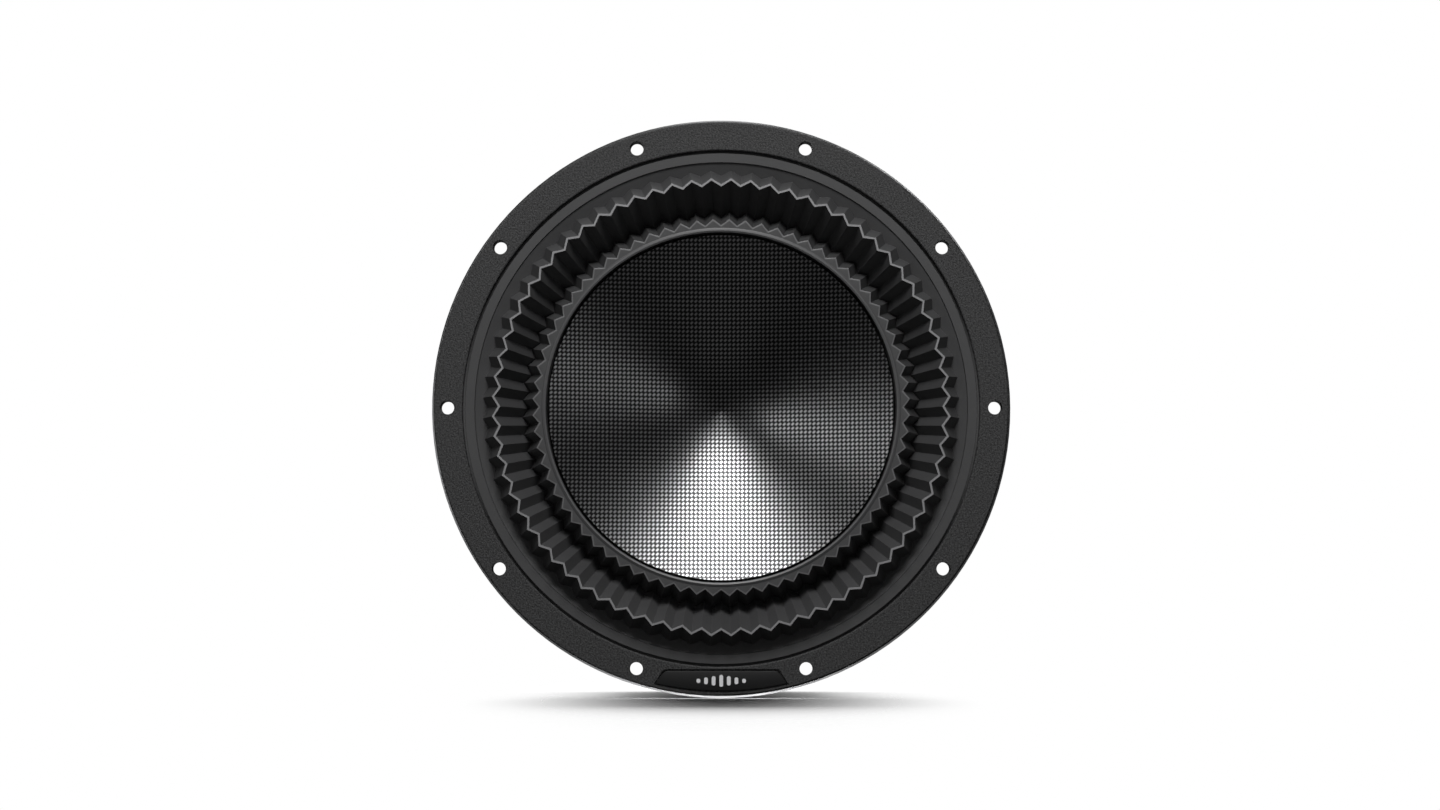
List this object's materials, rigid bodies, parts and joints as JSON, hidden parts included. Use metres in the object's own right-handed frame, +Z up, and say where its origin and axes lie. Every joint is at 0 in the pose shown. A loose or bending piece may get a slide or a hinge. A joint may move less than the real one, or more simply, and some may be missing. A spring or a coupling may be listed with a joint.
{
  "type": "car subwoofer driver",
  "caption": "Round car subwoofer driver with a pleated rubber surround, woven dish cone, cast basket and ferrite motor; the cone travels and the wire terminals press.",
  "frame": {"origin": "on the driver's axis, in the plane of the flange's rear seating face", "axes": "+Z up as pictured, front of the driver faces -Y, motor points to +Y, +X to the viewer's right"},
  "size_m": [0.276, 0.165, 0.276],
  "materials": {
    "basket_metal": "die-cast aluminium in black powder coat with a bright machined rim",
    "gasket_rubber": "moulded rubber with a fine grain",
    "surround_rubber": "smooth matt moulded rubber",
    "badge_plastic": "smooth satin plastic",
    "emblem_paint": "raised white mark",
    "dish_weave": "plain woven fibre in clear resin",
    "cone_pulp": "black pressed fibre pulp",
    "coupler_plastic": "black moulded plastic",
    "former_film": "amber film tube",
    "copper_wire": "enamelled round wire",
    "spider_cloth": "resin-stiffened cotton cloth",
    "spacer_board": "pressed board ring",
    "plated_steel": "machined steel, black zinc plated",
    "ferrite": "ground ferrite",
    "bare_copper": "spun copper",
    "ring_aluminium": "turned aluminium",
    "boot_rubber": "matt black moulded rubber",
    "screw_steel": "black oxide steel",
    "screen_steel": "perforated steel sheet",
    "block_plastic": "black moulded plastic",
    "button_red": "red moulded plastic",
    "button_black": "black moulded plastic",
    "spring_steel": "bright spring wire",
    "tag_brass": "tinned brass strip",
    "tinsel": "braided tinned copper"
  },
  "bodies": {
    "frame": {"basket": "basket_metal", "basket_screws": "screw_steel", "front_gasket": "gasket_rubber", "badge_plate": "badge_plastic", "badge_emblem": "emblem_paint", "surround": "surround_rubber", "spider": "spider_cloth", "spider_ring": "spacer_board", "top_plate": "plated_steel", "magnet_front": "ferrite", "magnet_rear": "ferrite", "t_yoke": "plated_steel", "pole_cap": "bare_copper", "shorting_ring": "ring_aluminium", "vent_screen": "screen_steel", "magnet_boot": "boot_rubber", "block_screws": "screw_steel", "terminal_block_left": "block_plastic", "solder_tags_left": "tag_brass", "tinsel_leads_left": "tinsel", "spring_left_lower": "spring_steel", "spring_left_upper": "spring_steel", "terminal_block_right": "block_plastic", "solder_tags_right": "tag_brass", "tinsel_leads_right": "tinsel", "spring_right_lower": "spring_steel", "spring_right_upper": "spring_steel"},
    "cone": {"cone_dish": "dish_weave", "cone_body": "cone_pulp", "coupler_ring": "coupler_plastic", "voice_coil_former": "former_film", "voice_coil_inner": "copper_wire", "voice_coil_outer": "copper_wire"},
    "button_left_lower": {"button_left_lower": "button_black"},
    "button_left_upper": {"button_left_upper": "button_red"},
    "button_right_lower": {"button_right_lower": "button_black"},
    "button_right_upper": {"button_right_upper": "button_red"}
  },
  "joints": [
    {"name": "cone_travel", "type": "slide", "parent": "frame", "child": "cone", "axis": [0, 1, 0], "range_m": [-0.015, 0.015], "stiffness_N_per_m": 6500, "deforming": ["surround", "spider", "tinsel_leads_left", "tinsel_leads_right"]},
    {"name": "press_left_lower", "type": "slide", "parent": "frame", "child": "button_left_lower", "axis": [0.9511, 0, 0.309], "range_m": [0, 0.004], "stiffness_N_per_m": 250, "springref_m": -0.004, "deforming": ["spring_left_lower"]},
    {"name": "press_left_upper", "type": "slide", "parent": "frame", "child": "button_left_upper", "axis": [0.9511, 0, 0.309], "range_m": [0, 0.004], "stiffness_N_per_m": 250, "springref_m": -0.004, "deforming": ["spring_left_upper"]},
    {"name": "press_right_lower", "type": "slide", "parent": "frame", "child": "button_right_lower", "axis": [-0.9511, 0, 0.309], "range_m": [0, 0.004], "stiffness_N_per_m": 250, "springref_m": -0.004, "deforming": ["spring_right_lower"]},
    {"name": "press_right_upper", "type": "slide", "parent": "frame", "child": "button_right_upper", "axis": [-0.9511, 0, 0.309], "range_m": [0, 0.004], "stiffness_N_per_m": 250, "springref_m": -0.004, "deforming": ["spring_right_upper"]}
  ]
}
